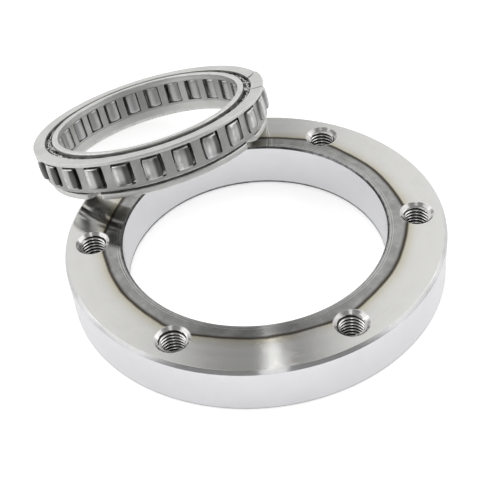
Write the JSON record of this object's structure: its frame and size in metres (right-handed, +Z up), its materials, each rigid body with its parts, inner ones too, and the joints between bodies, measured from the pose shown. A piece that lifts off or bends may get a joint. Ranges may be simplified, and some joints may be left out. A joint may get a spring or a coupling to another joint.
{
  "type": "one-way sprag clutch",
  "caption": "Sprag one-way clutch in two loose halves: a thick bolted outer race lying flat, and its double-cage sprag ring leaning on the rim.",
  "frame": {"origin": "on the axis of the outer race's bore, in the race's bottom face", "axes": "+Z up along the bore axis of the race, +Y towards the side where the sprag element leans, +X to the right seen from the side away from the element"},
  "size_m": [0.12, 0.1637, 0.0387],
  "materials": {
    "race_steel": "turned and ground bearing steel with an induction hardened bore band",
    "cage_steel": "satin tumbled sheet steel",
    "sprag_steel": "polished hardened steel",
    "spring_steel": "bright rolled spring strip"
  },
  "bodies": {
    "race": {"outer_race": "race_steel"},
    "sprag_element": {"outer_cage": "cage_steel", "ribbon_spring": "spring_steel"},
    "inner_ring": {"inner_cage": "cage_steel"},
    "sprag_01_strut": {"sprag_01": "sprag_steel"},
    "sprag_02_strut": {"sprag_02": "sprag_steel"},
    "sprag_03_strut": {"sprag_03": "sprag_steel"},
    "sprag_04_strut": {"sprag_04": "sprag_steel"},
    "sprag_05_strut": {"sprag_05": "sprag_steel"},
    "sprag_06_strut": {"sprag_06": "sprag_steel"},
    "sprag_07_strut": {"sprag_07": "sprag_steel"},
    "sprag_08_strut": {"sprag_08": "sprag_steel"},
    "sprag_09_strut": {"sprag_09": "sprag_steel"},
    "sprag_10_strut": {"sprag_10": "sprag_steel"},
    "sprag_11_strut": {"sprag_11": "sprag_steel"},
    "sprag_12_strut": {"sprag_12": "sprag_steel"},
    "sprag_13_strut": {"sprag_13": "sprag_steel"},
    "sprag_14_strut": {"sprag_14": "sprag_steel"},
    "sprag_15_strut": {"sprag_15": "sprag_steel"},
    "sprag_16_strut": {"sprag_16": "sprag_steel"},
    "sprag_17_strut": {"sprag_17": "sprag_steel"},
    "sprag_18_strut": {"sprag_18": "sprag_steel"},
    "sprag_19_strut": {"sprag_19": "sprag_steel"},
    "sprag_20_strut": {"sprag_20": "sprag_steel"},
    "sprag_21_strut": {"sprag_21": "sprag_steel"},
    "sprag_22_strut": {"sprag_22": "sprag_steel"},
    "sprag_23_strut": {"sprag_23": "sprag_steel"},
    "sprag_24_strut": {"sprag_24": "sprag_steel"},
    "sprag_25_strut": {"sprag_25": "sprag_steel"}
  },
  "joints": [
    {"name": "element_lift", "type": "slide", "parent": "race", "child": "sprag_element", "axis": [0, 0, 1], "range_m": [0, 0.05]},
    {"name": "inner_cage_turn", "type": "hinge", "parent": "sprag_element", "child": "inner_ring", "pos_m": [0, 0.0645, 0.02574], "axis": [0, 0.3156, 0.9489], "range_deg": [-1, 1], "stiffness_Nm_per_rad": 0.2},
    {"name": "sprag_01_rock", "type": "hinge", "parent": "sprag_element", "child": "sprag_01_strut", "pos_m": [0.03977, 0.06188, 0.02071], "axis": [0, 0.3156, 0.9489], "range_deg": [-6, 6]},
    {"name": "sprag_02_rock", "type": "hinge", "parent": "sprag_element", "child": "sprag_02_strut", "pos_m": [0.03875, 0.07129, 0.01758], "axis": [0, 0.3156, 0.9489], "range_deg": [-6, 6]},
    {"name": "sprag_03_rock", "type": "hinge", "parent": "sprag_element", "child": "sprag_03_strut", "pos_m": [0.03529, 0.08016, 0.01463], "axis": [0, 0.3156, 0.9489], "range_deg": [-6, 6]},
    {"name": "sprag_04_rock", "type": "hinge", "parent": "sprag_element", "child": "sprag_04_strut", "pos_m": [0.02961, 0.08794, 0.01204], "axis": [0, 0.3156, 0.9489], "range_deg": [-6, 6]},
    {"name": "sprag_05_rock", "type": "hinge", "parent": "sprag_element", "child": "sprag_05_strut", "pos_m": [0.02208, 0.09414, 0.00998], "axis": [0, 0.3156, 0.9489], "range_deg": [-6, 6]},
    {"name": "sprag_06_rock", "type": "hinge", "parent": "sprag_element", "child": "sprag_06_strut", "pos_m": [0.01315, 0.09836, 0.00857], "axis": [0, 0.3156, 0.9489], "range_deg": [-6, 6]},
    {"name": "sprag_07_rock", "type": "hinge", "parent": "sprag_element", "child": "sprag_07_strut", "pos_m": [0.0034, 0.10035, 0.00791], "axis": [0, 0.3156, 0.9489], "range_deg": [-6, 6]},
    {"name": "sprag_08_rock", "type": "hinge", "parent": "sprag_element", "child": "sprag_08_strut", "pos_m": [-0.00656, 0.09997, 0.00804], "axis": [0, 0.3156, 0.9489], "range_deg": [-6, 6]},
    {"name": "sprag_09_rock", "type": "hinge", "parent": "sprag_element", "child": "sprag_09_strut", "pos_m": [-0.01611, 0.09725, 0.00894], "axis": [0, 0.3156, 0.9489], "range_deg": [-6, 6]},
    {"name": "sprag_10_rock", "type": "hinge", "parent": "sprag_element", "child": "sprag_10_strut", "pos_m": [-0.02465, 0.09236, 0.01057], "axis": [0, 0.3156, 0.9489], "range_deg": [-6, 6]},
    {"name": "sprag_11_rock", "type": "hinge", "parent": "sprag_element", "child": "sprag_11_strut", "pos_m": [-0.03164, 0.08561, 0.01281], "axis": [0, 0.3156, 0.9489], "range_deg": [-6, 6]},
    {"name": "sprag_12_rock", "type": "hinge", "parent": "sprag_element", "child": "sprag_12_strut", "pos_m": [-0.03665, 0.07743, 0.01554], "axis": [0, 0.3156, 0.9489], "range_deg": [-6, 6]},
    {"name": "sprag_13_rock", "type": "hinge", "parent": "sprag_element", "child": "sprag_13_strut", "pos_m": [-0.03934, 0.06832, 0.01857], "axis": [0, 0.3156, 0.9489], "range_deg": [-6, 6]},
    {"name": "sprag_14_rock", "type": "hinge", "parent": "sprag_element", "child": "sprag_14_strut", "pos_m": [-0.03957, 0.05886, 0.02171], "axis": [0, 0.3156, 0.9489], "range_deg": [-6, 6]},
    {"name": "sprag_15_rock", "type": "hinge", "parent": "sprag_element", "child": "sprag_15_strut", "pos_m": [-0.03731, 0.04964, 0.02478], "axis": [0, 0.3156, 0.9489], "range_deg": [-6, 6]},
    {"name": "sprag_16_rock", "type": "hinge", "parent": "sprag_element", "child": "sprag_16_strut", "pos_m": [-0.03271, 0.04125, 0.02757], "axis": [0, 0.3156, 0.9489], "range_deg": [-6, 6]},
    {"name": "sprag_17_rock", "type": "hinge", "parent": "sprag_element", "child": "sprag_17_strut", "pos_m": [-0.02605, 0.03421, 0.02991], "axis": [0, 0.3156, 0.9489], "range_deg": [-6, 6]},
    {"name": "sprag_18_rock", "type": "hinge", "parent": "sprag_element", "child": "sprag_18_strut", "pos_m": [-0.01775, 0.02895, 0.03166], "axis": [0, 0.3156, 0.9489], "range_deg": [-6, 6]},
    {"name": "sprag_19_rock", "type": "hinge", "parent": "sprag_element", "child": "sprag_19_strut", "pos_m": [-0.00834, 0.02583, 0.0327], "axis": [0, 0.3156, 0.9489], "range_deg": [-6, 6]},
    {"name": "sprag_20_rock", "type": "hinge", "parent": "sprag_element", "child": "sprag_20_strut", "pos_m": [0.00159, 0.02502, 0.03297], "axis": [0, 0.3156, 0.9489], "range_deg": [-6, 6]},
    {"name": "sprag_21_rock", "type": "hinge", "parent": "sprag_element", "child": "sprag_21_strut", "pos_m": [0.01143, 0.02658, 0.03245], "axis": [0, 0.3156, 0.9489], "range_deg": [-6, 6]},
    {"name": "sprag_22_rock", "type": "hinge", "parent": "sprag_element", "child": "sprag_22_strut", "pos_m": [0.02055, 0.03041, 0.03118], "axis": [0, 0.3156, 0.9489], "range_deg": [-6, 6]},
    {"name": "sprag_23_rock", "type": "hinge", "parent": "sprag_element", "child": "sprag_23_strut", "pos_m": [0.02837, 0.03627, 0.02923], "axis": [0, 0.3156, 0.9489], "range_deg": [-6, 6]},
    {"name": "sprag_24_rock", "type": "hinge", "parent": "sprag_element", "child": "sprag_24_strut", "pos_m": [0.03442, 0.0438, 0.02672], "axis": [0, 0.3156, 0.9489], "range_deg": [-6, 6]},
    {"name": "sprag_25_rock", "type": "hinge", "parent": "sprag_element", "child": "sprag_25_strut", "pos_m": [0.0383, 0.05252, 0.02382], "axis": [0, 0.3156, 0.9489], "range_deg": [-6, 6]}
  ],
  "couplings": [
    {"joint": "sprag_01_rock", "follows": "inner_cage_turn", "ratio": -5.4113},
    {"joint": "sprag_02_rock", "follows": "inner_cage_turn", "ratio": -5.4113},
    {"joint": "sprag_03_rock", "follows": "inner_cage_turn", "ratio": -5.4113},
    {"joint": "sprag_04_rock", "follows": "inner_cage_turn", "ratio": -5.4113},
    {"joint": "sprag_05_rock", "follows": "inner_cage_turn", "ratio": -5.4113},
    {"joint": "sprag_06_rock", "follows": "inner_cage_turn", "ratio": -5.4113},
    {"joint": "sprag_07_rock", "follows": "inner_cage_turn", "ratio": -5.4113},
    {"joint": "sprag_08_rock", "follows": "inner_cage_turn", "ratio": -5.4113},
    {"joint": "sprag_09_rock", "follows": "inner_cage_turn", "ratio": -5.4113},
    {"joint": "sprag_10_rock", "follows": "inner_cage_turn", "ratio": -5.4113},
    {"joint": "sprag_11_rock", "follows": "inner_cage_turn", "ratio": -5.4113},
    {"joint": "sprag_12_rock", "follows": "inner_cage_turn", "ratio": -5.4113},
    {"joint": "sprag_13_rock", "follows": "inner_cage_turn", "ratio": -5.4113},
    {"joint": "sprag_14_rock", "follows": "inner_cage_turn", "ratio": -5.4113},
    {"joint": "sprag_15_rock", "follows": "inner_cage_turn", "ratio": -5.4113},
    {"joint": "sprag_16_rock", "follows": "inner_cage_turn", "ratio": -5.4113},
    {"joint": "sprag_17_rock", "follows": "inner_cage_turn", "ratio": -5.4113},
    {"joint": "sprag_18_rock", "follows": "inner_cage_turn", "ratio": -5.4113},
    {"joint": "sprag_19_rock", "follows": "inner_cage_turn", "ratio": -5.4113},
    {"joint": "sprag_20_rock", "follows": "inner_cage_turn", "ratio": -5.4113},
    {"joint": "sprag_21_rock", "follows": "inner_cage_turn", "ratio": -5.4113},
    {"joint": "sprag_22_rock", "follows": "inner_cage_turn", "ratio": -5.4113},
    {"joint": "sprag_23_rock", "follows": "inner_cage_turn", "ratio": -5.4113},
    {"joint": "sprag_24_rock", "follows": "inner_cage_turn", "ratio": -5.4113},
    {"joint": "sprag_25_rock", "follows": "inner_cage_turn", "ratio": -5.4113}
  ]
}
